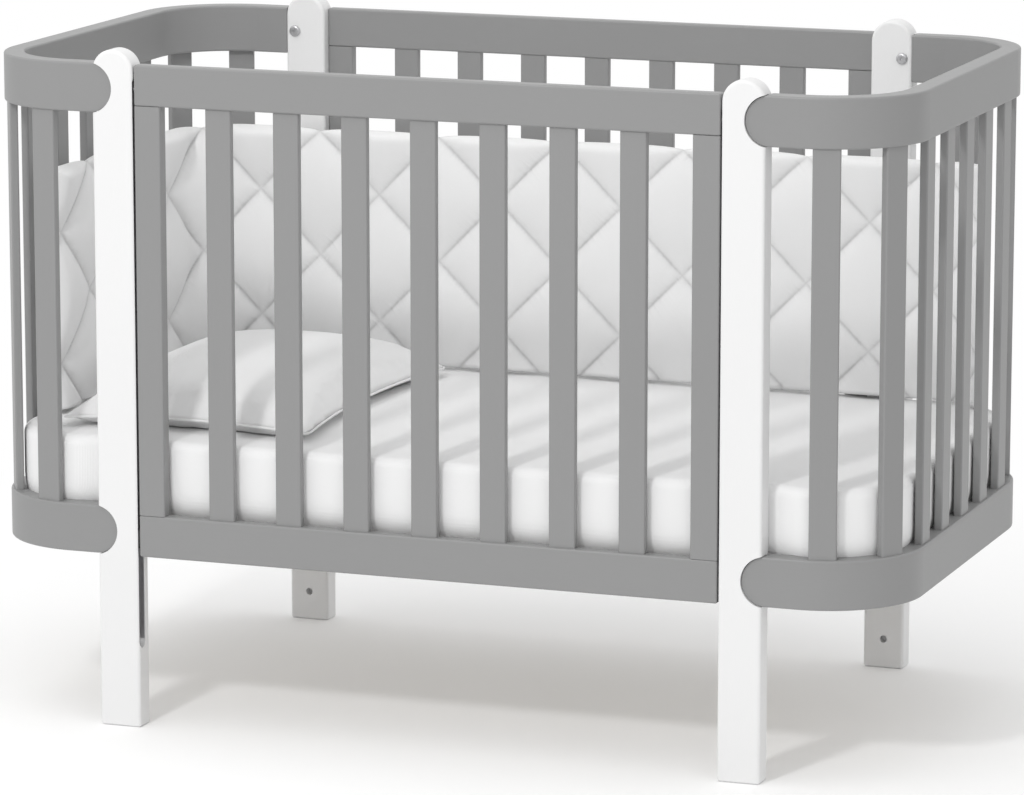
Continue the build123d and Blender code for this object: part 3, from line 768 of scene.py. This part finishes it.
class CRIB_OT_bumper(bpy.types.Operator):
    """Makes the bumper: a padded strip sewn in diamonds, standing round the back of the mattress"""

    bl_idname = "crib.bumper"
    bl_label = "Make the bumper"

    def execute(self, context):
        bedding = context.scene.crib_bedding
        low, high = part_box("bumper")
        pitch = bedding.quilt_pitch
        cell = pitch / PAD_CELLS
        self.radius = PAD_BEND - PAD_THICKNESS / 2
        self.line_x = low.x + PAD_THICKNESS / 2
        self.line_y = high.y - PAD_THICKNESS / 2
        self.front = low.y
        self.left = self.line_y - self.radius - self.front
        self.turn = self.radius * pi / 2
        self.back = 2 * (-self.line_x - self.radius)
        self.right = self.radius * PAD_RIGHT_TURN
        total = self.left + self.turn + self.back + self.right
        first = self.left + self.turn + (PAD_CROSSING - (self.line_x + self.radius))
        tall = high.z - low.z
        shape = bmesh.new()
        lead = first % cell
        columns = int((total - lead) / cell)
        rows = int(tall / cell)
        bmesh.ops.create_grid(shape, x_segments=columns, y_segments=rows, size=0.5)
        span, stand = columns * cell, rows * cell
        along = (span, 0, 0, lead + span / 2)
        upward = (0, stand, 0, high.z - stand / 2)
        turned = Matrix((along, (0, 0, 1, 0), upward, (0, 0, 0, 1)))
        bmesh.ops.transform(shape, matrix=turned, verts=shape.verts)
        uv = shape.loops.layers.uv.new("pad")
        lifted = bmesh.ops.extrude_face_region(shape, geom=shape.faces[:])
        upper = {part for part in lifted["geom"] if isinstance(part, bmesh.types.BMVert)}
        for face in shape.faces:
            for loop in face.loops:
                loop[uv].uv = (loop.vert.co.x, loop.vert.co.z)
        for vert in shape.verts:
            run, rise = vert.co.x, vert.co.z
            foot = (rise - (high.z - stand)) * PAD_FOOT_ROLL
            edge = min(run - lead, lead + span - run, foot, high.z - rise)
            half = self.puff(run, rise, first, pitch, high.z, edge, bedding.quilt_pinch)
            drop = self.edge_drop(run, rise, first, pitch, high.z)
            x, y, out = self.bend(run)
            sway = self.sway(run, rise, low.z)
            side = half * PAD_OUTER if vert not in upper else -half * self.plump(run)
            vert.co = (x + out[0] * (side + sway), y + out[1] * (side + sway), rise - drop)
        bmesh.ops.recalc_face_normals(shape, faces=shape.faces)
        cotton = quilted_cotton(
            "Quilted cotton", context.scene.crib_paints.cotton, bedding.thread, pitch, first, high.z
        )
        show(shape, "bumper_pad", cotton, "mattress", ["bumper"])
        return {"FINISHED"}

    def bend(self, run):
        """The place on the pad's middle line, and the way out of the crib there."""
        if run < self.left:
            return self.line_x, self.front + run, (-1.0, 0.0)
        run -= self.left
        if run < self.turn:
            return self.on_bend(self.line_x + self.radius, pi - run / self.radius)
        run -= self.turn
        if run < self.back:
            return self.line_x + self.radius + run, self.line_y, (0.0, 1.0)
        run -= self.back
        return self.on_bend(-self.line_x - self.radius, pi / 2 - run / self.radius)

    def on_bend(self, centre_x, angle):
        """A place on one of the pad's bends, and the way out of the crib there."""
        centre_y = self.line_y - self.radius
        out = (cos(angle), sin(angle))
        return centre_x + self.radius * cos(angle), centre_y + self.radius * sin(angle), out

    def puff(self, run, rise, first, pitch, head, edge, pinch):
        """Half of the pad's thickness at one place. edge is the way from there to the pad's rim."""
        down = head - rise
        domes = []
        for lean in (run - first + down, run - first - down):
            share = lean / pitch
            gap = abs(share - round(share)) * 2.0
            domes.append(1.0 - (1.0 - gap) ** PAD_DOME)
        crown = (domes[0] * domes[1]) ** PAD_FULL
        half = pinch / 2 + (PAD_CROWN - pinch / 2) * crown
        spot = Vector((run * PAD_WRINKLE_SCALE, rise * PAD_WRINKLE_SCALE, 1.3))
        half += PAD_WRINKLE * noise.noise(spot) * crown
        if edge < PAD_ROLL:
            round_in = sqrt(max(0.0, 1.0 - (1.0 - edge / PAD_ROLL) ** 2))
            half = PAD_RIM + (half - PAD_RIM) * round_in
        return half

    def plump(self, run):
        """The inner face is fuller where the pad is pushed round the corner."""
        return 1.0 + PAD_PLUMP * (1.0 - ease((run - self.left - self.turn) / PAD_PLUMP_REACH))

    def edge_drop(self, run, rise, first, pitch, head):
        """The top edge dips where two seams meet on it."""
        share = (run - first) / pitch
        gap = abs(share - round(share)) * pitch
        return PAD_DIP * exp(-gap / PAD_DIP_WIDTH) * ease(1.0 - (head - rise) / PAD_DIP_DEPTH)

    def sway(self, run, rise, foot):
        """Slow waves in the standing pad, none at its foot."""
        free = ease((rise - foot) / PAD_SWAY_RISE)
        wave = noise.noise(Vector((run * 4.2, rise * 2.0, 7.1)))
        return PAD_SWAY * (wave - PAD_SWAY_LEAN) * free


# Studio


class CRIB_OT_studio(bpy.types.Operator):
    """Makes the floor, the lamps and the camera"""

    bl_idname = "crib.studio"
    bl_label = "Set up the studio"

    def execute(self, context):
        scene = context.scene
        studio = scene.crib_studio
        self.floor()
        self.lamp("Front lamp", *FRONT_LAMP, studio.key)
        self.lamp("Overhead lamp", *OVERHEAD_LAMP, studio.top)
        self.room(scene, studio.room)
        self.camera(scene)
        scene.view_settings.view_transform = "Standard"
        return {"FINISHED"}

    def floor(self):
        shape = bmesh.new()
        bmesh.ops.create_grid(shape, x_segments=8, y_segments=8, size=9.0)
        bmesh.ops.translate(shape, vec=(0.0, 0.0, -0.4 * MM), verts=shape.verts)
        mesh = bpy.data.meshes.new("floor")
        shape.to_mesh(mesh)
        shape.free()
        paper = Finish("Studio floor", 0.95)
        place = paper.place()
        x, y, _ = paper.split(place)
        x = x / 1.2
        far = x.math("SQRT", x * x + y * y)
        fibre = paper.noise(place, 60.0, 2.0, 0.5)
        paper.set("Base Color", paper.blend(fibre, (0.90, 0.90, 0.90), (0.93, 0.93, 0.93)))
        paper.shader.inputs["Specular IOR Level"].default_value = 0.1
        seen = paper.seen()
        fade = paper.ramp((far - 0.55) / 1.1, [(0.0, 0.0), (0.5, 0.5), (1.0, 1.0)])
        glow = paper.add("ShaderNodeEmission", inputs={"Color": WHITE, "Strength": 1.0})
        lift = paper.add("ShaderNodeEmission", inputs={"Color": WHITE, "Strength": seen * 0.1})
        matt = Link(paper, paper.shader.outputs[0])
        surface = paper.add("ShaderNodeAddShader", inputs={0: matt, 1: lift})
        both = paper.add("ShaderNodeMixShader", inputs={0: fade * seen, 1: surface, 2: glow})
        paper.put(paper.tree.nodes["Material Output"].inputs["Surface"], both)
        mesh.materials.append(paper.material)
        floor = bpy.data.objects.new("studio_floor", mesh)
        bpy.context.scene.collection.objects.link(floor)

    def lamp(self, name, place, aim, size, power):
        light = bpy.data.lights.new(name, "AREA")
        light.shape = "DISK"
        light.size = size
        light.energy = power
        lamp = bpy.data.objects.new(name, light)
        lamp.location = place
        lamp.rotation_euler = (Vector(aim) - Vector(place)).to_track_quat("-Z", "Y").to_euler()
        bpy.context.scene.collection.objects.link(lamp)

    def room(self, scene, strength):
        world = bpy.data.worlds.new("Studio room")
        scene.world = world
        world.use_nodes = True
        nodes = Nodes(world.node_tree)
        room = nodes.add("ShaderNodeBackground", inputs={"Color": WHITE, "Strength": strength})
        white = nodes.add("ShaderNodeBackground", inputs={"Color": WHITE, "Strength": 1.0})
        mix = nodes.add("ShaderNodeMixShader", inputs={0: nodes.seen(), 1: room, 2: white})
        nodes.put(nodes.tree.nodes["World Output"].inputs["Surface"], mix)

    def camera(self, scene):
        lens = bpy.data.cameras.new("Camera")
        lens.sensor_width = 36.0
        lens.lens = CAMERA_LENS
        lens.shift_x, lens.shift_y = CAMERA_SHIFT
        lens.clip_end = 60.0
        camera = bpy.data.objects.new("Camera", lens)
        yaw, pitch, roll = CAMERA_TURN
        ahead = Vector((-sin(yaw) * cos(pitch), cos(yaw) * cos(pitch), -sin(pitch)))
        right = Vector((cos(yaw), sin(yaw), 0.0))
        up = right.cross(ahead)
        right, up = right * cos(roll) + up * sin(roll), up * cos(roll) - right * sin(roll)
        turned = Matrix((right, up, -ahead)).transposed().to_4x4()
        turned.translation = CAMERA_PLACE
        camera.matrix_world = turned
        scene.collection.objects.link(camera)
        scene.camera = camera


STEPS = (
    CRIB_OT_woodwork,
    CRIB_OT_metalwork,
    CRIB_OT_mattress,
    CRIB_OT_pillow,
    CRIB_OT_bumper,
    CRIB_OT_studio,
)


class CRIB_PT_panel(bpy.types.Panel):
    """Lists the crib's settings and pieces"""

    bl_idname = "CRIB_PT_panel"
    bl_label = "Crib"
    bl_space_type = "VIEW_3D"
    bl_region_type = "UI"
    bl_category = "Crib"

    def draw(self, context):
        scene = context.scene
        for group in (scene.crib_paints, scene.crib_bedding, scene.crib_studio):
            column = self.layout.column(align=True)
            for name in group.__annotations__:
                column.prop(group, name)
        for step in STEPS:
            self.layout.operator(step.bl_idname)


GROUPS = (("crib_paints", CribPaints), ("crib_bedding", CribBedding), ("crib_studio", CribStudio))


def register():
    for name, group in GROUPS:
        bpy.utils.register_class(group)
        setattr(bpy.types.Scene, name, PointerProperty(type=group))
    for step in STEPS:
        bpy.utils.register_class(step)
    bpy.utils.register_class(CRIB_PT_panel)


def unregister():
    bpy.utils.unregister_class(CRIB_PT_panel)
    for step in reversed(STEPS):
        bpy.utils.unregister_class(step)
    for name, group in reversed(GROUPS):
        delattr(bpy.types.Scene, name)
        bpy.utils.unregister_class(group)


def main():
    register()
    bpy.ops.crib.woodwork()
    bpy.ops.crib.metalwork()
    bpy.ops.crib.mattress()
    bpy.ops.crib.pillow()
    bpy.ops.crib.bumper()
    bpy.ops.crib.studio()


if __name__ == "__main__":
    main()
